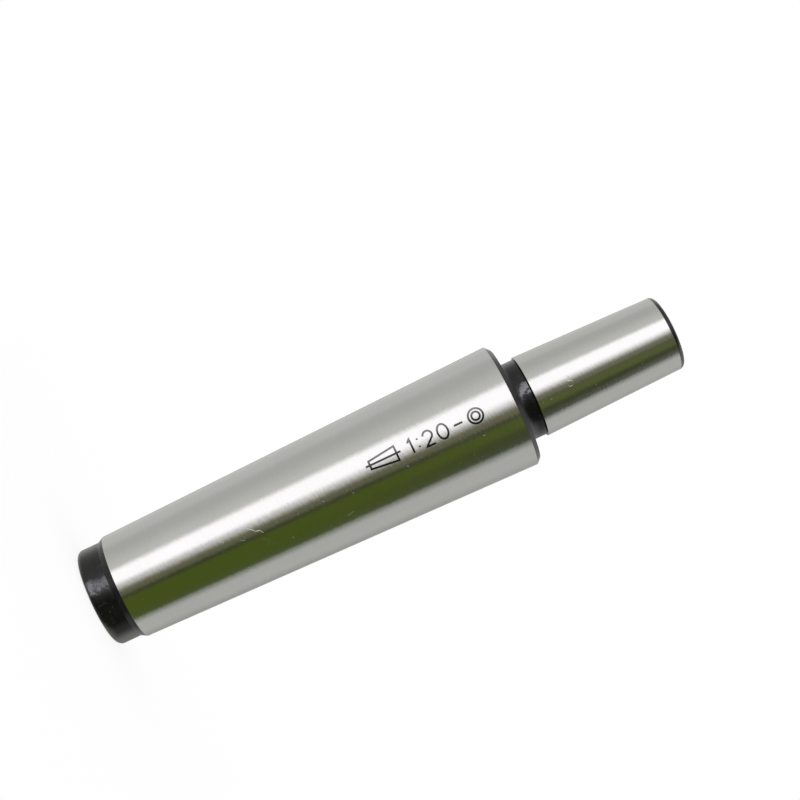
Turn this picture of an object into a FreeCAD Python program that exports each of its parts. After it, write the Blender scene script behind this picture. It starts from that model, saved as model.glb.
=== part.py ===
"""A drill chuck arbor: one turned and ground bar of hardened steel.

A machine holds it by the Morse taper, pulled in by a drawbar that screws into the lower end,
and a drill chuck sits on the short taper above the neck. Millimetres, +Z up along the bar's
axis, with the origin at the centre of the drawbar end face.
"""

import FreeCAD, Part
import os

import Sketcher

# Lengths in millimetres, angles in degrees. A taper's ratio is the length in which its diameter
# changes by one, and its overrun is how far it goes on past its gauge plane, to its thick end.
SIZES = {
    # Morse taper, ground. Its gauge height is measured from the drawbar end face
    "morse_gauge_diameter": 23.825,
    "morse_gauge_height": 81.0,
    "morse_taper_ratio": 19.922,
    "morse_overrun": 3.5,
    "shoulder_chamfer": 0.9,
    # Collar at the drawbar end, left as turned and blackened
    "collar_diameter": 18.7,
    "collar_length": 4.4,
    "collar_lead_length": 1.2,
    "collar_rim_radius": 1.2,
    # Neck between the two tapers, left as turned and blackened
    "neck_diameter": 15.2,
    "neck_length": 3.25,
    "neck_lead_length": 0.25,
    "neck_fillet": 1.2,
    # Chuck taper, ground. Its length is measured from its gauge plane to the tip
    "chuck_gauge_diameter": 15.733,
    "chuck_taper_length": 24.0,
    "chuck_taper_ratio": 20.020,
    "chuck_overrun": 4.5,
    "tip_rim_radius": 1.0,
    # Drawbar hole in the lower end: a centre cone, a plain relief, a lead and the tap drill's bore
    "drawbar_core_diameter": 10.2,
    "drawbar_core_depth": 34.0,
    "drawbar_relief_diameter": 12.6,
    "drawbar_relief_depth": 3.0,
    "drawbar_mouth_diameter": 14.6,
    "drawbar_thread_lead": 1.2,
    # Centre hole in the tip
    "centre_pilot_diameter": 3.15,
    "centre_pilot_depth": 5.2,
    "centre_mouth_diameter": 6.7,
    # Angles that both holes share
    "centre_cone_angle": 60.0,
    "drill_point_angle": 118.0,
}

# Heights along the axis, from the drawbar end face
GROUND_START = "(S.collar_length + S.collar_lead_length)"
SHOULDER = "(S.morse_gauge_height + S.morse_overrun)"
CHUCK_START = f"({SHOULDER} + S.neck_length)"
CHUCK_GAUGE = f"({CHUCK_START} + S.chuck_overrun)"
TIP = f"({CHUCK_GAUGE} + S.chuck_taper_length)"

# A cut that works removes at least this many cubic millimetres
LEAST_CUT = 1.0
# How closely an edge has to match the corner it is looked up by
EDGE_TOLERANCE = 1e-4


def formula(text):
    """The formula with each S. turned into a reference to the sheet of sizes."""
    return text.replace("S.", "<<Sizes>>.")


def morse_radius(height):
    return f"S.morse_gauge_diameter / 2 + ({height} - S.morse_gauge_height) / (2 * S.morse_taper_ratio)"


def chuck_radius(height):
    return f"S.chuck_gauge_diameter / 2 - ({height} - {CHUCK_GAUGE}) / (2 * S.chuck_taper_ratio)"


def outer_points():
    """Radius and height of each corner of the turned bar, up the outside from the lower end."""
    collar = "S.collar_diameter / 2"
    neck = "S.neck_diameter / 2"
    return [
        ("0", "0"),
        (collar, "0"),
        (collar, "S.collar_length"),
        (morse_radius(GROUND_START), GROUND_START),
        (morse_radius(SHOULDER), SHOULDER),
        (neck, SHOULDER),
        (neck, f"{CHUCK_START} - S.neck_lead_length"),
        (chuck_radius(CHUCK_START), CHUCK_START),
        (chuck_radius(TIP), TIP),
        ("0", TIP),
    ]


def drawbar_hole_points():
    """Radius and height of each corner of the drawbar hole: cone, relief, tap drill and drill point."""
    core = "S.drawbar_core_diameter / 2"
    relief = "S.drawbar_relief_diameter / 2"
    mouth = "S.drawbar_mouth_diameter / 2"
    cone_depth = f"({mouth} - {relief}) / tan(S.centre_cone_angle / 2 * 1 deg)"
    point_depth = f"{core} / tan(S.drill_point_angle / 2 * 1 deg)"
    return [
        ("0", "0"),
        (mouth, "0"),
        (relief, cone_depth),
        (relief, "S.drawbar_relief_depth"),
        (core, "S.drawbar_relief_depth + S.drawbar_thread_lead"),
        (core, "S.drawbar_core_depth"),
        ("0", f"S.drawbar_core_depth + {point_depth}"),
    ]


def origin_plane(body, role):
    return next(item for item in body.Origin.OriginFeatures if item.Role == role)


def make_sheet(doc):
    sheet = doc.addObject("Spreadsheet::Sheet", "Sizes")
    sheet.Label = "Sizes"
    for row, (name, value) in enumerate(SIZES.items(), start=1):
        sheet.set(f"A{row}", name)
        sheet.set(f"B{row}", str(value))
        sheet.setAlias(f"B{row}", name)
    doc.recompute()
    return sheet


def bind(sketch, index, name, text):
    """Names a constraint of the sketch and ties it to a formula of the sheet's sizes."""
    sketch.renameConstraint(index, name)
    sketch.setExpression(f"Constraints.{name}", formula(text))


def profile_sketch(body, name, points):
    """A closed profile on the XZ plane. Each radius and each height is dimensioned once: a side that
    keeps its radius is vertical, and one that keeps its height is horizontal."""
    sketch = body.newObject("Sketcher::SketchObject", name)
    sketch.AttachmentSupport = [(origin_plane(body, "XZ_Plane"), "")]
    sketch.MapMode = "FlatFace"
    places = [
        FreeCAD.Vector(float(sketch.evalExpression(formula(x))), float(sketch.evalExpression(formula(y))), 0)
        for x, y in points
    ]
    count = len(points)
    for i in range(count):
        sketch.addGeometry(Part.LineSegment(places[i], places[(i + 1) % count]), False)
    for i in range(count):
        sketch.addConstraint(Sketcher.Constraint("Coincident", i, 2, (i + 1) % count, 1))
    sketch.addConstraint(Sketcher.Constraint("Coincident", 0, 1, -1, 1))
    for i in range(1, count):
        radius, height = points[i]
        before_radius, before_height = points[i - 1]
        if radius == "0":
            sketch.addConstraint(Sketcher.Constraint("PointOnObject", i, 1, -2))
        elif radius == before_radius:
            sketch.addConstraint(Sketcher.Constraint("Vertical", i - 1))
        else:
            index = sketch.addConstraint(Sketcher.Constraint("DistanceX", -1, 1, i, 1, places[i].x))
            bind(sketch, index, f"radius_{i}", radius)
        if height == before_height:
            sketch.addConstraint(Sketcher.Constraint("Horizontal", i - 1))
        else:
            index = sketch.addConstraint(Sketcher.Constraint("DistanceY", -1, 1, i, 1, places[i].y))
            bind(sketch, index, f"height_{i}", height)
    return sketch


def revolve(body, kind, name, sketch):
    """Turns a profile all the way round the bar's axis."""
    feature = body.newObject(kind, name)
    feature.Profile = sketch
    feature.ReferenceAxis = (sketch, ["V_Axis"])
    feature.Angle = 360.0
    body.Document.recompute()
    return feature


def round_edge(body, radius, height):
    """The circular edge of the body with this radius at this height."""
    for number, edge in enumerate(body.Shape.Edges, start=1):
        curve = edge.Curve
        if not isinstance(curve, Part.Circle):
            continue
        if abs(curve.Radius - radius) < EDGE_TOLERANCE and abs(curve.Center.z - height) < EDGE_TOLERANCE:
            return f"Edge{number}"
    raise RuntimeError(f"no edge of radius {radius:.3f} at height {height:.3f}")


def dress_edge(body, kind, name, size_property, size_name, corner):
    """Adds a fillet or a chamfer to the edge at a corner of the turned profile."""
    sheet = body.Document.getObject("Sizes")
    radius, height = (float(sheet.evalExpression(formula(text))) for text in corner)
    base = body.Tip
    edge = round_edge(body, radius, height)
    feature = body.newObject(kind, name)
    feature.Base = (base, [edge])
    feature.setExpression(size_property, formula(f"S.{size_name}"))
    body.Document.recompute()
    return feature


def centre_hole(body):
    """The lathe centre in the tip: a drilled pilot with a cone for the centre's point."""
    sketch = body.newObject("Sketcher::SketchObject", "TipCentrePilot")
    sketch.AttachmentSupport = [(origin_plane(body, "XY_Plane"), "")]
    sketch.MapMode = "FlatFace"
    sketch.setExpression("AttachmentOffset.Base.z", formula(TIP))
    pilot = SIZES["centre_pilot_diameter"] / 2
    circle = sketch.addGeometry(Part.Circle(FreeCAD.Vector(0, 0, 0), FreeCAD.Vector(0, 0, 1), pilot), False)
    sketch.addConstraint(Sketcher.Constraint("Coincident", circle, 3, -1, 1))
    index = sketch.addConstraint(Sketcher.Constraint("Diameter", circle, 2 * pilot))
    bind(sketch, index, "pilot_diameter", "S.centre_pilot_diameter")
    body.Document.recompute()

    hole = body.newObject("PartDesign::Hole", "TipCentre")
    hole.Profile = sketch
    body.Document.recompute()
    hole.Threaded = False
    hole.DepthType = "Dimension"
    hole.DrillPoint = "Angled"
    hole.HoleCutType = "Countersink"
    hole.HoleCutCustomValues = True
    hole.setExpression("Diameter", formula("S.centre_pilot_diameter"))
    hole.setExpression("Depth", formula("S.centre_pilot_depth"))
    hole.setExpression("DrillPointAngle", formula("S.drill_point_angle"))
    hole.setExpression("HoleCutDiameter", formula("S.centre_mouth_diameter"))
    hole.setExpression("HoleCutCountersinkAngle", formula("S.centre_cone_angle"))
    body.Document.recompute()
    return hole


def must_cut(body, before, name):
    """A cut that points away from the bar removes nothing and shows no error, so the volume is compared."""
    removed = before - body.Shape.Volume
    if removed < LEAST_CUT:
        raise RuntimeError(f"{name} removed only {removed:.3f} cubic mm")


def make_arbor(doc):
    body = doc.addObject("PartDesign::Body", "Arbor")
    body.Label = "arbor"
    body.Placement = FreeCAD.Placement()

    outer = outer_points()
    turned = profile_sketch(body, "TurnedProfile", outer)
    revolve(body, "PartDesign::Revolution", "TurnedBar", turned)

    collar_rim, shoulder, neck_root, tip_rim = outer[1], outer[4], outer[5], outer[8]
    dress_edge(body, "PartDesign::Fillet", "CollarRim", "Radius", "collar_rim_radius", collar_rim)
    dress_edge(body, "PartDesign::Chamfer", "ShoulderChamfer", "Size", "shoulder_chamfer", shoulder)
    dress_edge(body, "PartDesign::Fillet", "NeckRoot", "Radius", "neck_fillet", neck_root)
    dress_edge(body, "PartDesign::Fillet", "TipRim", "Radius", "tip_rim_radius", tip_rim)

    before = body.Shape.Volume
    bored = profile_sketch(body, "DrawbarHoleProfile", drawbar_hole_points())
    revolve(body, "PartDesign::Groove", "DrawbarHole", bored)
    must_cut(body, before, "DrawbarHole")

    before = body.Shape.Volume
    centre_hole(body)
    must_cut(body, before, "TipCentre")
    return body


def check(doc, bodies):
    for item in doc.Objects:
        if "Invalid" in item.State or "Error" in item.State:
            raise RuntimeError(f"{item.Label} failed: {item.State}")
    for body in bodies:
        shape = body.Shape
        if shape.isNull() or not shape.isValid() or len(shape.Solids) != 1:
            raise RuntimeError(f"{body.Label} is not one valid solid")


def main():
    doc = FreeCAD.newDocument("DrillChuckArbor")
    make_sheet(doc)
    bodies = [make_arbor(doc)]
    doc.recompute()
    check(doc, bodies)
    os.makedirs("parts", exist_ok=True)
    for body in bodies:
        body.Shape.exportStep(f"parts/{body.Label}.step")
        box = body.Shape.BoundBox
        print(f"{body.Label}: {body.Shape.Volume:.1f} cubic mm")
        print(f"{box.XLength:.3f} x {box.YLength:.3f} x {box.ZLength:.3f} mm")


main()
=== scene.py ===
"""Drill chuck arbor: finishes, drawbar thread, etched mark, studio and camera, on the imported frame."""

import math
from collections import namedtuple

import bpy
from mathutils import Matrix, Vector


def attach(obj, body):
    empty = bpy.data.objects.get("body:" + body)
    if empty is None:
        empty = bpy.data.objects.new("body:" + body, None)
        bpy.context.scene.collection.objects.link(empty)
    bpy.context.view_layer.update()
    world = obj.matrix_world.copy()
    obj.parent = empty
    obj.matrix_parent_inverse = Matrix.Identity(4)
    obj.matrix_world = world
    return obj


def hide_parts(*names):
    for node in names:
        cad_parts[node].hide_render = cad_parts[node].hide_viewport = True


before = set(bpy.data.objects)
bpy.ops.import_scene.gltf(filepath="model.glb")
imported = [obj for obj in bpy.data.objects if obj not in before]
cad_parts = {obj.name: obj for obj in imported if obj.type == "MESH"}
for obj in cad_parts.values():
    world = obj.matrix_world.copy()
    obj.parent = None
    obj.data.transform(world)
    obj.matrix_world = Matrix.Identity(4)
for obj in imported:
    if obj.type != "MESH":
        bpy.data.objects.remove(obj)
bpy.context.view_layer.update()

# Sizes are in millimetres, and heights are from the drawbar end. MM turns them into metres.
MM = 0.001
SEGMENTS = 192

# Spindle taper
MORSE_GAUGE_RADIUS = 23.825 / 2
MORSE_GAUGE_HEIGHT = 81.0
MORSE_TAPER_RATIO = 19.922
SHANK_LENGTH = 84.5
SHOULDER_CHAMFER = 0.9

# Collar at the drawbar end
COLLAR_RADIUS = 9.35
COLLAR_LENGTH = 4.4
COLLAR_LEAD_END = 5.6
COLLAR_RIM_RADIUS = 1.2

# Neck and chuck taper
NECK_RADIUS = 7.6
NECK_END = 87.5
NECK_FILLET = 1.2
CHUCK_START = 87.75
CHUCK_GAUGE_RADIUS = 15.733 / 2
CHUCK_GAUGE_HEIGHT = 92.25
CHUCK_TAPER_RATIO = 20.020
TOTAL_LENGTH = 116.25
TIP_RIM_RADIUS = 1.0
TIP_RIM_START = TOTAL_LENGTH - TIP_RIM_RADIUS

# Drawbar hole with its M12 thread
MOUTH_RADIUS = 7.3
RELIEF_RADIUS = 6.3
RELIEF_START = 1.732
RELIEF_END = 3.0
CORE_RADIUS = 5.1
CORE_START = 4.2
CORE_END = 34.0
THREAD_RADIUS = 6.0
THREAD_PITCH = 1.75
THREAD_END = 28.0
THREAD_RUNOUT = 1.2
THREAD_ROWS_PER_PITCH = 16
DRILL_POINT_SLOPE = math.tan(math.radians(90 - 118 / 2))

# Centre hole in the tip
CENTRE_MOUTH_RADIUS = 3.35
CENTRE_PILOT_RADIUS = 1.575
CENTRE_PILOT_DEPTH = 5.2
CENTRE_CONE_SLOPE = 1 / math.tan(math.radians(60 / 2))

# Small roundings of the edges, and the row that holds each one tight
GROUND_EDGE = 0.12
SHOULDER_EDGE = 0.05
BLACK_EDGE = 0.10
HOLE_EDGE = 0.15
ARC_STEPS = 4
RIM_STEPS = 10
WIDE_ROUNDING = 0.5
HOLD = 0.03

# The finishes, by their place in the arbor's material slots
GROUND, BLACK, CENTRE = range(3)

Corner = namedtuple("Corner", "height radius rounding finish")
Row = namedtuple("Row", "height radius finish threaded")


def morse_radius(height):
    """Radius of the spindle taper, which widens towards the neck."""
    return MORSE_GAUGE_RADIUS + (height - MORSE_GAUGE_HEIGHT) / (2 * MORSE_TAPER_RATIO)


def chuck_radius(height):
    """Radius of the chuck taper, which narrows towards the tip."""
    return CHUCK_GAUGE_RADIUS - (height - CHUCK_GAUGE_HEIGHT) / (2 * CHUCK_TAPER_RATIO)


def rounded_rows(corners):
    """Rows along straight stretches, with an arc at each inner corner.

    A corner's finish covers its arc and the stretch that follows.
    """
    rows = [Row(corners[0].height, corners[0].radius, corners[0].finish, False)]
    for before, corner, after in zip(corners, corners[1:], corners[2:]):
        here = Vector((corner.height, corner.radius))
        into = (here - Vector((before.height, before.radius))).normalized()
        away = (Vector((after.height, after.radius)) - here).normalized()
        turn = into.angle(away)
        setback = corner.rounding * math.tan(turn / 2)
        centre = here + (away - into).normalized() * corner.rounding / math.cos(turn / 2)
        start = here - into * setback
        end = here + away * setback
        steps = RIM_STEPS if corner.rounding > WIDE_ROUNDING else ARC_STEPS
        rows.append(Row(*(start - into * HOLD), before.finish, False))
        for step in range(steps + 1):
            spoke = (start - centre).slerp(end - centre, step / steps) * corner.rounding
            rows.append(Row(*(centre + spoke), corner.finish, False))
        rows.append(Row(*(end + away * HOLD), corner.finish, False))
    rows.append(Row(corners[-1].height, corners[-1].radius, corners[-1].finish, False))
    return rows


def thread_radius(height, angle):
    """Radius of the threaded wall: a right-hand 60 degree groove with a fading end, or the lead cone."""
    pitch_share = height / THREAD_PITCH - angle / (2 * math.pi)
    from_groove = abs(pitch_share - round(pitch_share)) * THREAD_PITCH
    flank = (THREAD_RADIUS - CORE_RADIUS) * math.tan(math.radians(30))
    root_half_width = THREAD_PITCH / 16
    share = min(max((root_half_width + flank - from_groove) / flank, 0.0), 1.0)
    eased = share * share * (3 - 2 * share)
    fade = min(max((THREAD_END - height) / THREAD_RUNOUT, 0.0), 1.0)
    groove = CORE_RADIUS + (THREAD_RADIUS - CORE_RADIUS) * fade * (share + eased) / 2
    lead_share = (height - RELIEF_END) / (CORE_START - RELIEF_END)
    lead = RELIEF_RADIUS + (CORE_RADIUS - RELIEF_RADIUS) * lead_share
    return max(groove, lead)


def drawbar_hole_rows():
    """From the drill point down to the mouth at the drawbar end."""
    point = CORE_END + CORE_RADIUS * DRILL_POINT_SLOPE
    bottom = [
        Corner(point, 0.0, 0.0, BLACK),
        Corner(CORE_END, CORE_RADIUS, HOLE_EDGE, BLACK),
        Corner(THREAD_END + HOLD, CORE_RADIUS, 0.0, BLACK),
    ]
    count = round((THREAD_END - RELIEF_END) / THREAD_PITCH * THREAD_ROWS_PER_PITCH)
    spacing = (THREAD_END - RELIEF_END) / count
    thread = [Row(THREAD_END - spacing * step, CORE_RADIUS, BLACK, True) for step in range(count)]
    return rounded_rows(bottom) + thread


def outside_rows():
    """From the thread's lead down, round the collar, up the tapers and into the tip's centre hole."""
    chamfer_start = SHANK_LENGTH - SHOULDER_CHAMFER
    cone_depth = (CENTRE_MOUTH_RADIUS - CENTRE_PILOT_RADIUS) * CENTRE_CONE_SLOPE
    pilot_end = TOTAL_LENGTH - CENTRE_PILOT_DEPTH
    pilot_point = pilot_end - CENTRE_PILOT_RADIUS * DRILL_POINT_SLOPE
    return rounded_rows([
        Corner(RELIEF_END, RELIEF_RADIUS, 0.0, BLACK),
        Corner(RELIEF_START, RELIEF_RADIUS, HOLE_EDGE, CENTRE),
        Corner(0.0, MOUTH_RADIUS, HOLE_EDGE, BLACK),
        Corner(0.0, COLLAR_RADIUS, COLLAR_RIM_RADIUS, BLACK),
        Corner(COLLAR_LENGTH, COLLAR_RADIUS, BLACK_EDGE, BLACK),
        Corner(COLLAR_LEAD_END, morse_radius(COLLAR_LEAD_END), GROUND_EDGE, GROUND),
        Corner(chamfer_start, morse_radius(chamfer_start), SHOULDER_EDGE, BLACK),
        Corner(SHANK_LENGTH, morse_radius(SHANK_LENGTH) - SHOULDER_CHAMFER, BLACK_EDGE, BLACK),
        Corner(SHANK_LENGTH, NECK_RADIUS, NECK_FILLET, BLACK),
        Corner(NECK_END, NECK_RADIUS, BLACK_EDGE, BLACK),
        Corner(CHUCK_START, chuck_radius(CHUCK_START), GROUND_EDGE, GROUND),
        Corner(TOTAL_LENGTH, chuck_radius(TOTAL_LENGTH), TIP_RIM_RADIUS, BLACK),
        Corner(TOTAL_LENGTH, CENTRE_MOUTH_RADIUS, BLACK_EDGE, CENTRE),
        Corner(TOTAL_LENGTH - cone_depth, CENTRE_PILOT_RADIUS, BLACK_EDGE, CENTRE),
        Corner(pilot_end, CENTRE_PILOT_RADIUS, BLACK_EDGE, CENTRE),
        Corner(pilot_point, 0.0, 0.0, CENTRE),
    ])


def make_piece(name, vertices, faces, finishes, materials):
    """A smooth mesh object from lists, with a material index for each face."""
    mesh = bpy.data.meshes.new(name)
    mesh.from_pydata(vertices, [], faces)
    for material in materials:
        mesh.materials.append(material)
    mesh.polygons.foreach_set("material_index", finishes)
    mesh.polygons.foreach_set("use_smooth", [True] * len(faces))
    mesh.update()
    piece = bpy.data.objects.new(name, mesh)
    bpy.context.scene.collection.objects.link(piece)
    return piece


def make_arbor(materials):
    """The arbor as one closed skin, turned row by row from the drill point to the tip's centre hole."""
    rows = drawbar_hole_rows() + outside_rows()
    rings = rows[1:-1]
    vertices = [(0, 0, rows[0].height * MM)]
    for row in rings:
        for segment in range(SEGMENTS):
            angle = 2 * math.pi * segment / SEGMENTS
            radius = thread_radius(row.height, angle) if row.threaded else row.radius
            x = radius * math.cos(angle)
            y = radius * math.sin(angle)
            vertices.append((x * MM, y * MM, row.height * MM))
    vertices.append((0, 0, rows[-1].height * MM))

    def at(ring, segment):
        return 1 + ring * SEGMENTS + segment % SEGMENTS

    last = len(vertices) - 1
    faces = []
    finishes = []
    for segment in range(SEGMENTS):
        faces.append((0, at(0, segment + 1), at(0, segment)))
        finishes.append(rows[0].finish)
    for ring in range(len(rings) - 1):
        for segment in range(SEGMENTS):
            faces.append((at(ring, segment), at(ring, segment + 1),
                          at(ring + 1, segment + 1), at(ring + 1, segment)))
            finishes.append(rings[ring].finish)
    for segment in range(SEGMENTS):
        faces.append((last, at(len(rings) - 1, segment), at(len(rings) - 1, segment + 1)))
        finishes.append(rings[-1].finish)
    return make_piece("ground_arbor", vertices, faces, finishes, materials)


# The etched mark: a tapered-plug symbol, the plain ratio 1:20, a dash and two rings
MARK_START = 54.6
MARK_HEIGHT = 2.75
MARK_STROKE = 0.37
MARK_PROUD = 0.012
MARK_SUNK = 0.03
MARK_STEP = 0.35
MARK_ANGLE = math.radians(6.75)


def arc(centre_x, centre_y, radius_x, radius_y, start, end, steps=28):
    """Points on an elliptical arc, with angles in degrees."""
    points = []
    for step in range(steps + 1):
        angle = math.radians(start + (end - start) * step / steps)
        points.append((centre_x + radius_x * math.cos(angle), centre_y + radius_y * math.sin(angle)))
    return points


def mark_strokes():
    """The strokes of the mark in its own plane: x along the arbor from the mark's start, y across it."""
    half = MARK_HEIGHT / 2
    small = half * 0.55
    strokes = []
    # Tapered plug, narrow towards the drawbar end, with its centre line
    plug_left, plug_right = 0.8, 6.0
    strokes.append([(plug_left, -small), (plug_right, -half), (plug_right, half),
                    (plug_left, small), (plug_left, -small)])
    strokes.append([(0.0, 0.0), (plug_right + 0.8, 0.0)])
    # 1 : 20
    one = 9.0
    strokes.append([(one - 0.55, half - 0.65), (one, half), (one, -half)])
    colon = one + 1.3
    for height in (-0.7, 0.7):
        strokes.append([(colon, height - 0.14), (colon, height + 0.14)])
    two = colon + 2.0
    bowl = 0.85
    foot = [(two - bowl, -half), (two + bowl, -half)]
    strokes.append(arc(two, half - bowl, bowl, bowl, 170, -35) + foot)
    nought = two + 2.8
    strokes.append(arc(nought, 0.0, 0.95, half, 90, 450))
    # Dash and the plug seen from its end
    dash = nought + 2.2
    strokes.append([(dash, 0.0), (dash + 1.7, 0.0)])
    rings = dash + 1.7 + 1.2 + half
    strokes.append(arc(rings, 0.0, half, half, 0, 360, 40))
    strokes.append(arc(rings, 0.0, small, small, 0, 360, 28))
    return strokes


def on_morse_taper(along, across, proud):
    """The point at a height on the spindle taper, a distance round from the mark's line, standing proud."""
    radius = morse_radius(along)
    angle = MARK_ANGLE + across / radius
    out = radius + proud
    return Vector((-out * math.sin(angle), -out * math.cos(angle), along)) * MM


def divided(points):
    """The same line with no stretch longer than the mark's step, so that it can follow the taper."""
    line = [points[0]]
    for start, end in zip(points, points[1:]):
        steps = max(1, math.ceil(math.dist(start, end) / MARK_STEP))
        for step in range(1, steps + 1):
            share = step / steps
            x = start[0] + (end[0] - start[0]) * share
            y = start[1] + (end[1] - start[1]) * share
            line.append((x, y))
    return line


def stroke_sides(line, closed):
    """Left and right edges of a stroke, with mitred corners."""
    sides = []
    count = len(line)
    for index, point in enumerate(line):
        before = line[index - 1] if index > 0 else (line[-2] if closed else None)
        after = line[index + 1] if index < count - 1 else (line[1] if closed else None)
        here = Vector(point)
        into = (here - Vector(before)).normalized() if before else None
        away = (Vector(after) - here).normalized() if after else None
        into = into or away
        away = away or into
        along = (into + away).normalized()
        across = Vector((-along.y, along.x))
        reach = MARK_STROKE / 2 / max(0.5, along.dot(into))
        sides.append((here + across * reach, here - across * reach))
    return sides


def make_mark(material):
    """The etched mark: every stroke is a thin closed strip that follows the taper."""
    vertices = []
    faces = []
    for stroke in mark_strokes():
        closed = math.dist(stroke[0], stroke[-1]) < 1e-6
        sides = stroke_sides(divided(stroke), closed)
        if closed:
            sides = sides[:-1]
        first = len(vertices)
        for left, right in sides:
            for x, y, rise in ((*left, MARK_PROUD), (*right, MARK_PROUD),
                               (*right, -MARK_SUNK), (*left, -MARK_SUNK)):
                vertices.append(on_morse_taper(MARK_START + x, y, rise))
        count = len(sides)
        for index in range(count if closed else count - 1):
            here = first + 4 * index
            there = first + 4 * ((index + 1) % count)
            for side in range(4):
                following = (side + 1) % 4
                faces.append((here + side, here + following, there + following, there + side))
        if not closed:
            faces.append((first + 3, first + 2, first + 1, first))
            end = first + 4 * (count - 1)
            faces.append((end, end + 1, end + 2, end + 3))
    piece = make_piece("etched_mark", vertices, faces, [0] * len(faces), [material])
    piece.data.polygons.foreach_set("use_smooth", [False] * len(faces))
    return piece


class Nodes:
    """A node tree, with short calls for the nodes that this scene uses."""

    def __init__(self, owner):
        owner.use_nodes = True
        self.tree = owner.node_tree
        self.tree.nodes.clear()

    def add(self, kind, inputs=(), **settings):
        node = self.tree.nodes.new(kind)
        for name, value in settings.items():
            setattr(node, name, value)
        for name, value in dict(inputs).items():
            self.feed(node.inputs[name], value)
        return node

    def feed(self, socket, value):
        if isinstance(value, bpy.types.NodeSocket):
            self.tree.links.new(value, socket)
        else:
            socket.default_value = value

    def math(self, operation, *values):
        node = self.add("ShaderNodeMath", enumerate(values), operation=operation)
        return node.outputs[0]

    def times(self, first, second):
        return self.math("MULTIPLY", first, second)

    def plus(self, first, second):
        return self.math("ADD", first, second)

    def minus(self, first, second):
        return self.math("SUBTRACT", first, second)

    def larger(self, first, second):
        return self.math("MAXIMUM", first, second)

    def scaled(self, vector, scale):
        node = self.add("ShaderNodeVectorMath", enumerate((vector, scale)), operation="MULTIPLY")
        return node.outputs[0]

    def ramp(self, value, low, high, to_low=0.0, to_high=1.0):
        """A soft step from to_low at low to to_high at high. low may be above high."""
        node = self.add(
            "ShaderNodeMapRange",
            {"Value": value, "From Min": low, "From Max": high, "To Min": to_low, "To Max": to_high},
            interpolation_type="SMOOTHSTEP",
        )
        return node.outputs[0]

    def spread(self, value, to_low, to_high):
        """A noise's middle range as numbers from to_low to to_high."""
        node = self.add(
            "ShaderNodeMapRange",
            {"Value": value, "From Min": 0.3, "From Max": 0.7, "To Min": to_low, "To Max": to_high},
        )
        return node.outputs[0]

    def blend(self, factor, first, second):
        node = self.add("ShaderNodeMix", enumerate((factor,)), data_type="RGBA")
        self.feed(node.inputs[6], first)
        self.feed(node.inputs[7], second)
        return node.outputs[2]

    def noise(self, vector, scale, detail=2.0, roughness=0.5):
        node = self.add(
            "ShaderNodeTexNoise",
            {"Vector": vector, "Scale": scale, "Detail": detail, "Roughness": roughness},
        )
        return node.outputs[0]

    def millimetres(self):
        """The place on the object, in millimetres."""
        coordinates = self.add("ShaderNodeTexCoord").outputs["Object"]
        return self.scaled(coordinates, (1 / MM, 1 / MM, 1 / MM))

    def facing(self, place):
        """The angle round the axis in degrees, from the camera's side and positive towards -X."""
        parts = self.add("ShaderNodeSeparateXYZ", {"Vector": place}).outputs
        across = self.times(parts["X"], -1.0)
        towards = self.times(parts["Y"], -1.0)
        return self.times(self.math("ARCTAN2", across, towards), 180 / math.pi)

    def z_part(self, vector):
        return self.add("ShaderNodeSeparateXYZ", {"Vector": vector}).outputs["Z"]

    def bump(self, height, rise):
        """A normal from a height of 0 to 1 that stands for rise millimetres."""
        node = self.add("ShaderNodeBump", {"Height": height, "Strength": 1.0, "Distance": rise * MM})
        return node.outputs[0]

    def surface(self, **inputs):
        """The principled surface with these inputs, spelt with _ for a space, joined to the output."""
        named = {name.replace("_", " "): value for name, value in inputs.items()}
        shader = self.add("ShaderNodeBsdfPrincipled", named)
        output = self.add("ShaderNodeOutputMaterial")
        self.tree.links.new(shader.outputs[0], output.inputs["Surface"])


def grey(value):
    return (value, value, value, 1.0)


def hairlines(nodes, place, scale, seed, width, share):
    """Short curved scratches: thin contour lines of a broad noise, kept where another noise is high."""
    shifted = nodes.add("ShaderNodeVectorMath", enumerate((place, seed)), operation="ADD").outputs[0]
    contour = nodes.math("ABSOLUTE", nodes.minus(nodes.noise(shifted, scale, 0.0), 0.5))
    line = nodes.ramp(contour, width, 0.0)
    keep = nodes.ramp(nodes.noise(shifted, scale * 2.3, 1.0), 1 - share, 1 - share + 0.05)
    return nodes.times(line, keep)


# Colours of the finishes: the ground steel's cloud, then the black finish, the scuffs that show through it,
# its painted highlight patches, and its edge that is partly worn and partly painted highlight
GROUND_DARK = (0.510, 0.508, 0.500, 1.0)
GROUND_LIGHT = (0.600, 0.597, 0.588, 1.0)
BLACK_DEEP = (0.0028, 0.0028, 0.0032, 1.0)
BLACK_CLOUD = (0.0056, 0.0055, 0.0062, 1.0)
SCUFFED = (0.060, 0.058, 0.066, 1.0)
PAINTED_HIGHLIGHT = (0.140, 0.137, 0.148, 1.0)
WORN_EDGE_AND_HIGHLIGHT = (0.260, 0.255, 0.275, 1.0)
UPPER_TINT = (0.945, 0.930, 1.0, 1.0)

# The black finish's specular level, and how much of it is lost just below the light box
SHEEN = 0.46
SHEEN_LOST = 0.16

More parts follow.
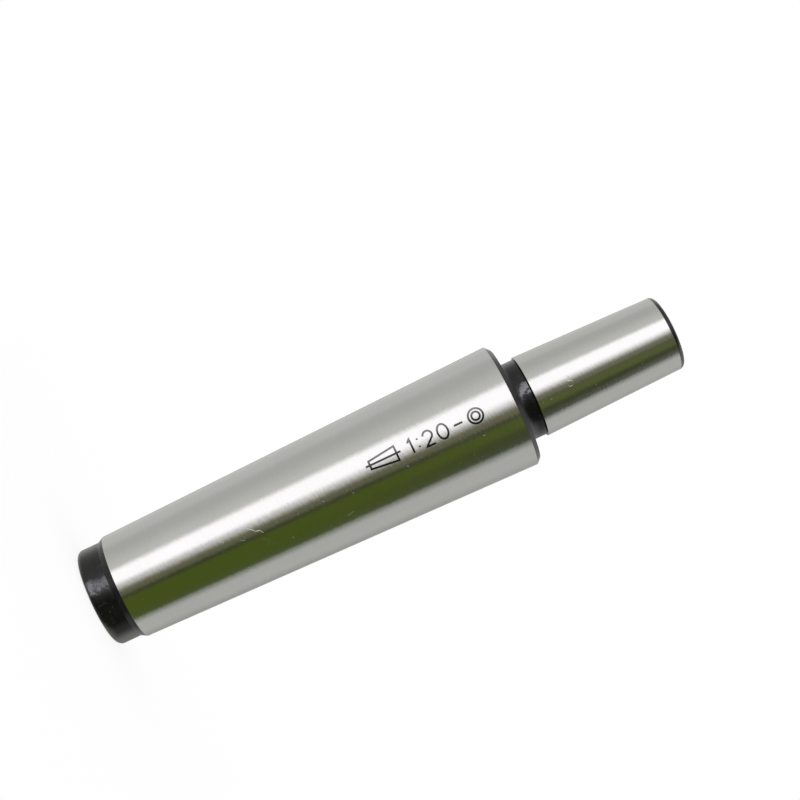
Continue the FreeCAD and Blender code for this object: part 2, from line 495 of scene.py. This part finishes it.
# Scratches and nicks on the tapers, in millimetres: start and end, each as a height and a distance
# round from the camera's side, then the width and the strength
TAPER_MARKS = (
    ((31.0, 0.45), (32.1, -0.60), 0.11, 1.0),
    ((32.1, -0.60), (32.8, -0.75), 0.11, 1.0),
    ((32.8, -0.75), (33.2, -1.45), 0.10, 0.8),
    ((32.7, -2.4), (34.6, -4.5), 0.08, 0.11),
    ((34.6, -4.5), (35.4, -4.5), 0.08, 0.08),
    ((47.9, -5.3), (49.3, -5.1), 0.10, 0.25),
    ((45.1, -0.95), (45.3, -1.0), 0.12, 0.42),
    ((50.6, -1.8), (50.75, -1.8), 0.10, 0.40),
    ((61.4, -1.6), (61.6, -1.65), 0.12, 0.36),
    ((76.0, -2.4), (76.3, -2.5), 0.12, 0.36),
    ((90.1, -1.8), (90.4, -1.8), 0.13, 0.32),
    ((94.45, 0.75), (95.05, -0.50), 0.12, 0.80),
    ((94.35, 0.00), (94.75, -0.15), 0.20, 1.0),
    ((94.15, -0.95), (94.4, -1.25), 0.12, 0.50),
    ((94.4, -1.25), (94.8, -1.2), 0.12, 0.50),
)


def taper_marks(nodes, place):
    """A mask of the named scratches and nicks, drawn on the unrolled taper."""
    parts = nodes.add("ShaderNodeSeparateXYZ", {"Vector": place}).outputs
    squares = nodes.plus(nodes.times(parts["X"], parts["X"]), nodes.times(parts["Y"], parts["Y"]))
    radius = nodes.math("SQRT", squares)
    round_by = nodes.times(nodes.times(nodes.facing(place), math.pi / 180), radius)
    wander = nodes.times(nodes.minus(nodes.noise(place, 1.6, 1.0), 0.5), 0.40)
    mask = None
    for start, end, width, strength in TAPER_MARKS:
        run = math.dist(start, end)
        rise_share = (end[0] - start[0]) / run
        round_share = (end[1] - start[1]) / run
        up = nodes.minus(parts["Z"], start[0])
        across = nodes.minus(round_by, start[1])
        along = nodes.plus(nodes.times(up, rise_share), nodes.times(across, round_share))
        off = nodes.minus(nodes.times(across, rise_share), nodes.times(up, round_share))
        off = nodes.math("ABSOLUTE", nodes.plus(off, wander))
        past = nodes.larger(nodes.minus(along, run), nodes.times(along, -1.0))
        line = nodes.times(nodes.ramp(off, width, 0.0, 0.0, strength), nodes.ramp(past, width, 0.0))
        mask = nodes.larger(mask, line) if mask else line
    return mask


def ground_steel():
    """Hardened steel, cylindrically ground: fine lines round the axis, a little chatter, light marks."""
    material = bpy.data.materials.new("ground_steel")
    nodes = Nodes(material)
    place = nodes.millimetres()
    lines = nodes.noise(nodes.scaled(place, (0.22, 0.22, 4.5)), 1.0, 4.0, 0.6)
    chatter = nodes.noise(nodes.scaled(place, (0.45, 0.45, 2.4)), 1.0, 1.5)
    hatching = nodes.noise(nodes.scaled(place, (1.0, 1.0, 4.2)), 1.0, 1.0)
    cloud = nodes.noise(place, 0.11, 3.0)
    long_scratches = hairlines(nodes, place, 0.16, (3.1, 7.7, 1.3), 0.0020, 0.33)
    short_scratches = hairlines(nodes, place, 0.33, (11.0, 2.0, 5.0), 0.0026, 0.31)
    scratches = nodes.larger(long_scratches, short_scratches)
    specks = nodes.ramp(nodes.noise(place, 2.6, 1.0), 0.775, 0.81)
    faint = nodes.larger(nodes.times(scratches, 0.55), nodes.times(specks, 0.35))
    marks = nodes.larger(faint, taper_marks(nodes, place))
    shade = nodes.plus(nodes.spread(lines, -0.012, 0.012), nodes.spread(cloud, -0.012, 0.012))
    colour = nodes.blend(nodes.plus(0.5, nodes.times(shade, 8.0)), GROUND_DARK, GROUND_LIGHT)
    rough = nodes.plus(nodes.spread(lines, 0.115, 0.165), nodes.spread(cloud, -0.02, 0.02))
    rough = nodes.plus(rough, nodes.times(marks, 0.40))
    metal = nodes.minus(1.0, nodes.times(marks, 0.75))
    height = nodes.plus(nodes.times(lines, 0.08), nodes.times(chatter, 0.62))
    height = nodes.plus(height, nodes.times(hatching, 0.40))
    height = nodes.minus(height, nodes.times(marks, 0.25))
    tangent = nodes.add("ShaderNodeTangent", direction_type="RADIAL", axis="Z").outputs[0]
    nodes.surface(
        Base_Color=colour, Metallic=metal, Roughness=rough, Anisotropic=0.45, Anisotropic_Rotation=0.25,
        Tangent=tangent, Normal=nodes.bump(height, 0.025),
    )
    return material


def painted_highlight_patches(nodes, place, height, facing, grain):
    """Painted highlight: brighter, more metallic patches on the camera's side of the collar and of the
    neck, where the light box reflects.

    The grain breaks the patches up.
    """
    frayed = nodes.minus(grain, 0.5)
    collar_angle = nodes.plus(facing, nodes.times(frayed, 24.0))
    rim_angle = nodes.minus(collar_angle, nodes.ramp(height, 2.2, 1.0, 0.0, 4.0))
    on_collar = nodes.times(nodes.ramp(collar_angle, 6.5, 11.0), nodes.ramp(rim_angle, 23.5, 19.5))
    on_collar = nodes.times(on_collar, nodes.ramp(height, COLLAR_LENGTH + 0.05, COLLAR_LENGTH - 0.15))
    on_collar = nodes.times(on_collar, nodes.ramp(height, 2.0, 1.0, 1.0, 1.35))
    neck_angle = nodes.plus(facing, nodes.times(frayed, 34.0))
    neck_middle = nodes.ramp(height, SHANK_LENGTH + 0.3, NECK_END - 0.5, 3.5, 17.5)
    from_middle = nodes.math("ABSOLUTE", nodes.minus(neck_angle, neck_middle))
    above_root = nodes.ramp(height, SHANK_LENGTH + 0.6, SHANK_LENGTH + 1.2, 0.0, 1.8)
    on_neck = nodes.times(nodes.ramp(from_middle, 9.5, 4.5), above_root)
    on_neck = nodes.times(on_neck, nodes.ramp(height, CHUCK_START + 2.25, CHUCK_START + 0.25))
    fibres = nodes.noise(nodes.scaled(place, (2.6, 2.6, 4.2)), 1.0, 2.0, 0.6)
    brightness = nodes.times(nodes.ramp(grain, 0.32, 0.60, 0.50, 1.0), nodes.spread(fibres, 0.62, 1.22))
    return nodes.times(nodes.larger(on_collar, on_neck), brightness)


def black_sheen(nodes, height, facing):
    """The black finish's specular level, which differs round the sides.

    Below the light box it is a little duller. The underside mirrors the bright table more than a smooth
    surface would, and so does the upper side, near its outline. A flat face looks along the axis and
    has one sheen all over.
    """
    normal = nodes.add("ShaderNodeTexCoord").outputs["Normal"]
    along_axis = nodes.math("ABSOLUTE", nodes.z_part(normal))
    this_side = nodes.times(nodes.ramp(facing, -160.0, -110.0), nodes.ramp(along_axis, 0.995, 0.95))
    dull = nodes.times(nodes.ramp(facing, 8.0, 4.5), this_side)
    by_shoulder = nodes.times(
        nodes.ramp(height, SHANK_LENGTH - 1.5, SHANK_LENGTH - 1.0),
        nodes.ramp(height, SHANK_LENGTH + 2.3, SHANK_LENGTH + 0.7),
    )
    shoulder_under = nodes.plus(
        nodes.ramp(facing, 7.0, -6.0, 0.0, 0.26),
        nodes.ramp(facing, -18.0, -46.0, 0.0, 0.7),
    )
    by_tip = nodes.times(
        nodes.ramp(height, TIP_RIM_START - 0.25, TIP_RIM_START - 0.05),
        nodes.ramp(height, TOTAL_LENGTH - 0.01, TOTAL_LENGTH - 0.15),
    )
    rim_under = nodes.times(nodes.ramp(height, 1.8, 0.7), nodes.ramp(facing, -20.0, -36.0, 0.0, 0.8))
    under = nodes.times(nodes.ramp(facing, -45.0, -68.0), nodes.ramp(height, 20.0, 10.0, 0.25, 1.9))
    under = nodes.larger(under, nodes.times(by_shoulder, shoulder_under))
    under = nodes.larger(under, rim_under)
    under = nodes.larger(under, nodes.times(by_tip, nodes.ramp(facing, -8.0, -34.0, 0.0, 1.2)))
    on_chamfer = nodes.times(
        nodes.ramp(height, SHANK_LENGTH - 1.5, SHANK_LENGTH - 1.0),
        nodes.ramp(height, SHANK_LENGTH + 0.05, SHANK_LENGTH - 0.05),
    )
    over = nodes.times(nodes.ramp(facing, 42.0, 75.0, 0.0, 2.0), nodes.larger(on_chamfer, by_tip))
    over = nodes.larger(over, nodes.ramp(facing, 56.0, 80.0, 0.0, 1.2))
    over = nodes.times(over, nodes.ramp(facing, 160.0, 110.0))
    extra = nodes.times(nodes.larger(under, over), this_side)
    return nodes.plus(nodes.minus(SHEEN, nodes.times(dull, SHEEN_LOST)), extra)


def black_oxide():
    """Turned steel with a black finish: faint turning lines, cloudy sheen, and scuffs from handling."""
    material = bpy.data.materials.new("black_oxide")
    nodes = Nodes(material)
    place = nodes.millimetres()
    height = nodes.z_part(place)
    facing = nodes.facing(place)
    turning = nodes.noise(nodes.scaled(place, (0.10, 0.10, 5.0)), 1.0, 3.0, 0.6)
    cloud = nodes.noise(place, 0.9, 4.0, 0.6)
    grain = nodes.noise(nodes.scaled(place, (1.5, 1.5, 1.1)), 1.0, 5.0, 0.62)
    patches = nodes.noise(place, 0.28, 1.0)
    scuffs = nodes.times(nodes.ramp(grain, 0.57, 0.66), nodes.ramp(patches, 0.52, 0.62))
    # Painted highlight: brighter, more metallic colour on the collar and neck where the light box reflects
    painted_highlight = painted_highlight_patches(nodes, place, height, facing, grain)
    # The edge where the tip's rounded rim begins is brighter: partly wear, partly a painted highlight
    at_rim_start = nodes.ramp(height, TIP_RIM_START + 0.2, TIP_RIM_START - 0.05)
    wear_and_highlight = nodes.times(at_rim_start, nodes.ramp(height, 100.0, 101.0))
    colour = nodes.blend(nodes.spread(cloud, 0.0, 1.0), BLACK_DEEP, BLACK_CLOUD)
    colour = nodes.blend(nodes.times(scuffs, 0.5), colour, SCUFFED)
    colour = nodes.blend(nodes.times(painted_highlight, 0.8), colour, PAINTED_HIGHLIGHT)
    colour = nodes.blend(nodes.times(wear_and_highlight, 0.55), colour, WORN_EDGE_AND_HIGHLIGHT)
    metal = nodes.larger(nodes.times(scuffs, 0.35), nodes.times(painted_highlight, 0.8))
    metal = nodes.larger(metal, nodes.times(wear_and_highlight, 0.55))
    relief = nodes.plus(nodes.times(turning, 0.6), nodes.times(cloud, 0.4))
    tint = nodes.blend(nodes.ramp(height, 60.0, 80.0), grey(1.0), UPPER_TINT)
    nodes.surface(
        Base_Color=colour, Metallic=metal, Roughness=nodes.spread(cloud, 0.20, 0.28), IOR=1.46,
        Specular_IOR_Level=black_sheen(nodes, height, facing), Specular_Tint=tint,
        Normal=nodes.bump(relief, 0.006),
    )
    return material


def lapped_centre():
    """The 60 degree centre cones that the tapers were ground between: bright, with turning rings."""
    material = bpy.data.materials.new("lapped_centre")
    nodes = Nodes(material)
    place = nodes.millimetres()
    rings = nodes.noise(nodes.scaled(place, (0.2, 0.2, 7.0)), 1.0, 3.0, 0.6)
    cloud = nodes.noise(place, 0.5, 3.0)
    colour = nodes.blend(nodes.spread(cloud, 0.0, 1.0), grey(0.36), grey(0.46))
    nodes.surface(
        Base_Color=colour, Metallic=1.0, Roughness=nodes.spread(rings, 0.20, 0.32),
        Normal=nodes.bump(rings, 0.004),
    )
    return material


def etched_steel():
    """Acid-etched strokes: dark and matt, with a painted sheen: their colour is lighter on the side where
    the light box is.
    """
    material = bpy.data.materials.new("etched_steel")
    nodes = Nodes(material)
    place = nodes.millimetres()
    mottle = nodes.noise(place, 3.5, 3.0, 0.6)
    # Painted sheen: the strokes' colour is lighter on the side facing the light box
    upper = nodes.ramp(nodes.facing(place), 3.0, 14.0)
    deep = nodes.blend(nodes.spread(mottle, 0.0, 1.0), grey(0.006), grey(0.024))
    light = nodes.blend(nodes.spread(mottle, 0.0, 1.0), grey(0.110), grey(0.210))
    colour = nodes.blend(upper, deep, light)
    rough = nodes.spread(mottle, 0.30, 0.42)
    nodes.surface(Base_Color=colour, Metallic=1.0, Roughness=rough, Normal=nodes.bump(mottle, 0.004))
    return material


# The floor: the share of its white that light gives it, and half its width in metres
FLOOR_SHARE_LIT = 0.14
FLOOR_HALF_WIDTH = 2.0


def floor_paint():
    """Pale floor: part of its white is its own, so that the arbor's shadow on it stays faint.

    From below it is clear.
    """
    material = bpy.data.materials.new("pale_floor")
    nodes = Nodes(material)
    diffuse = nodes.add("ShaderNodeBsdfDiffuse", {"Color": grey(FLOOR_SHARE_LIT)})
    glow = nodes.add("ShaderNodeEmission", {"Color": grey(1 - FLOOR_SHARE_LIT)})
    both = nodes.add("ShaderNodeAddShader", enumerate((diffuse.outputs[0], glow.outputs[0])))
    clear = nodes.add("ShaderNodeBsdfTransparent")
    underneath = nodes.add("ShaderNodeNewGeometry").outputs["Backfacing"]
    sided = nodes.add("ShaderNodeMixShader", enumerate((underneath, both.outputs[0], clear.outputs[0])))
    output = nodes.add("ShaderNodeOutputMaterial")
    nodes.tree.links.new(sided.outputs[0], output.inputs["Surface"])
    return material


# The studio as the metal sees it. Angles are in degrees round the arbor from the camera's side, positive
# towards the light box, and strengths are of a plain light level of 1.
WALL = (0.657, 0.663, 0.631, 1.0)
WALL_FAR = (0.757, 0.762, 0.733, 1.0)
WALL_BY_BOX = (0.866, 0.873, 0.834, 1.0)
LIGHT_BOX = (1.790, 1.765, 1.800, 1.0)
TABLE_EDGE = (0.175, 0.177, 0.098, 1.0)
TABLE_EDGE_HIGH = (0.235, 0.230, 0.160, 1.0)
GAP = (0.066, 0.076, 0.037, 1.0)
GAP_HIGH = (0.140, 0.150, 0.083, 1.0)
GREEN_CARD = (0.098, 0.138, 0.0205, 1.0)
GREEN_CARD_HIGH = (0.140, 0.168, 0.055, 1.0)
GREEN_SHADE = (0.075, 0.086, 0.041, 1.0)
CARD_EDGE = (0.100, 0.138, 0.048, 1.0)
CARD_EDGE_SHADE = (0.088, 0.104, 0.072, 1.0)
CARD_EDGE_HIGH = (0.215, 0.220, 0.193, 1.0)
PAPER = (0.673, 0.680, 0.650, 1.0)
PAPER_FAR = (0.370, 0.373, 0.360, 1.0)
PAPER_FAR_HIGH = (0.470, 0.473, 0.460, 1.0)
BACK_WALL = (0.560, 0.560, 0.550, 1.0)
BACK_BOX = (1.500, 1.500, 1.500, 1.0)
ENDS = (0.720, 0.720, 0.715, 1.0)
LOWER_END = (0.350, 0.350, 0.350, 1.0)
BOX_LEAN = 0.05
LEAN = 0.20
LEAN_START = -0.5
PAPER_LEAN = -0.10
PAPER_START = -4.4


def make_world():
    """White for the camera and for matt surfaces, and the studio round the arbor for its reflections."""
    world = bpy.data.worlds.new("studio")
    bpy.context.scene.world = world
    nodes = Nodes(world)
    direction = nodes.add("ShaderNodeTexCoord").outputs["Generated"]
    parts = nodes.add("ShaderNodeSeparateXYZ", {"Vector": direction}).outputs
    towards_box = nodes.times(parts["X"], -1.0)
    towards_camera = nodes.times(parts["Y"], -1.0)
    degrees = 180 / math.pi
    angle = nodes.times(nodes.math("ARCTAN2", towards_box, towards_camera), degrees)
    rise = nodes.times(nodes.math("ARCSINE", parts["Z"]), degrees)

    def leaning(start, lean):
        """The angle, moved by a start and by a lean for each degree of rise."""
        return nodes.plus(nodes.plus(angle, start), nodes.times(rise, lean))

    box_angle = leaning(0.0, BOX_LEAN)
    table_angle = leaning(LEAN_START, LEAN)
    paper_angle = leaning(PAPER_START, PAPER_LEAN)
    from_camera = nodes.math("ABSOLUTE", angle)
    high = nodes.ramp(rise, -3, 12)
    table_edge = nodes.blend(high, TABLE_EDGE, TABLE_EDGE_HIGH)
    gap = nodes.blend(high, GAP, GAP_HIGH)
    green_card = nodes.blend(high, GREEN_CARD, GREEN_CARD_HIGH)
    paper_far = nodes.blend(high, PAPER_FAR, PAPER_FAR_HIGH)
    shaded = nodes.times(nodes.ramp(angle, -36, -50), nodes.ramp(rise, -4, 4))
    card_edge = nodes.blend(shaded, CARD_EDGE, CARD_EDGE_SHADE)
    card_edge = nodes.blend(nodes.ramp(rise, 7, 12.5), card_edge, CARD_EDGE_HIGH)
    paper_start = nodes.ramp(paper_angle, -74, -79, 0.0, 0.22)
    paper_share = nodes.plus(paper_start, nodes.ramp(paper_angle, -73, -94, 0.0, 0.78))
    # A faint strip across the box's lower edge, seen in the lower half of the spindle taper
    strip = nodes.times(nodes.ramp(table_angle, 13.5, 8.5), nodes.ramp(table_angle, 0.5, 6.5))
    strip = nodes.times(strip, nodes.ramp(rise, 0, -7, 0.0, 0.16))
    table_share = nodes.plus(nodes.ramp(table_angle, 17, -9), strip)

    seen = WALL
    seen = nodes.blend(nodes.ramp(angle, 95, 116), seen, WALL_FAR)
    seen = nodes.blend(nodes.ramp(angle, 88, 42), seen, WALL_BY_BOX)
    seen = nodes.blend(nodes.ramp(box_angle, 48.5, 36), seen, LIGHT_BOX)
    seen = nodes.blend(table_share, seen, table_edge)
    seen = nodes.blend(nodes.ramp(table_angle, -13, -20), seen, gap)
    seen = nodes.blend(nodes.ramp(table_angle, -21, -27), seen, green_card)
    seen = nodes.blend(shaded, seen, GREEN_SHADE)
    seen = nodes.blend(nodes.ramp(paper_angle, -57, -74, 0.0, 0.6), seen, card_edge)
    seen = nodes.blend(paper_share, seen, PAPER)
    seen = nodes.blend(nodes.ramp(angle, -112, -165), seen, paper_far)
    seen = nodes.blend(nodes.ramp(from_camera, 152, 166), seen, BACK_WALL)
    seen = nodes.blend(nodes.ramp(from_camera, 168, 173), seen, BACK_BOX)
    seen = nodes.blend(nodes.ramp(parts["Z"], 0.82, 0.97), seen, ENDS)
    seen = nodes.blend(nodes.ramp(parts["Z"], -0.82, -0.97), seen, LOWER_END)

    path = nodes.add("ShaderNodeLightPath").outputs
    reflected = nodes.larger(path["Is Glossy Ray"], path["Is Transmission Ray"])
    background = nodes.add("ShaderNodeBackground", {"Color": nodes.blend(reflected, grey(1.0), seen)})
    output = nodes.add("ShaderNodeOutputWorld")
    nodes.tree.links.new(background.outputs[0], output.inputs["Surface"])
    world.cycles.sampling_method = "NONE"


def make_floor(material):
    """A wide pale floor that the arbor stands on. The metal sees the studio instead of it."""
    reach = FLOOR_HALF_WIDTH
    corners = [(-reach, -reach, 0), (reach, -reach, 0), (reach, reach, 0), (-reach, reach, 0)]
    floor = make_piece("floor", corners, [(0, 1, 2, 3)], [0], [material])
    floor.visible_glossy = False


# The camera, fitted to the arbor's outline in the photograph
FOCAL_PIXELS = 1621.0
FRAME_PIXELS = 800
SENSOR_WIDTH = 36.0
AIM_HEIGHT = 43.0
AIM_ALONG = -22.619
AIM_ACROSS = -9.623
AIM_DEPTH = 299.11
TILT = 0.0405
AXIS_ANGLE = math.radians(25.061)


def make_camera():
    """The photograph's viewing angle: the arbor's axis runs up to the right, its tip a little farther."""
    up_axis = Vector((0, 0, 1))
    depth_axis = Vector((0, 1, 0))
    along = up_axis * math.cos(TILT) - depth_axis * math.sin(TILT)
    away = up_axis * math.sin(TILT) + depth_axis * math.cos(TILT)
    across = Vector((-1, 0, 0))
    place = Vector((0, 0, AIM_HEIGHT)) - along * AIM_ALONG - across * AIM_ACROSS - away * AIM_DEPTH
    right = along * math.cos(AXIS_ANGLE) - across * math.sin(AXIS_ANGLE)
    up = along * math.sin(AXIS_ANGLE) + across * math.cos(AXIS_ANGLE)
    data = bpy.data.cameras.new("camera")
    data.sensor_width = SENSOR_WIDTH
    data.lens = FOCAL_PIXELS / FRAME_PIXELS * SENSOR_WIDTH
    data.clip_start = 0.01
    camera = bpy.data.objects.new("camera", data)
    turned = Matrix((right, up, -away)).transposed().to_4x4()
    camera.matrix_world = Matrix.Translation(place * MM) @ turned
    bpy.context.scene.collection.objects.link(camera)
    bpy.context.scene.camera = camera


def main():
    bpy.context.scene.view_settings.view_transform = "Standard"
    make_camera()
    make_world()
    make_floor(floor_paint())
    arbor = make_arbor([ground_steel(), black_oxide(), lapped_centre()])
    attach(arbor, "root")
    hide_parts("arbor")
    mark = make_mark(etched_steel())
    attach(mark, "root")


main()
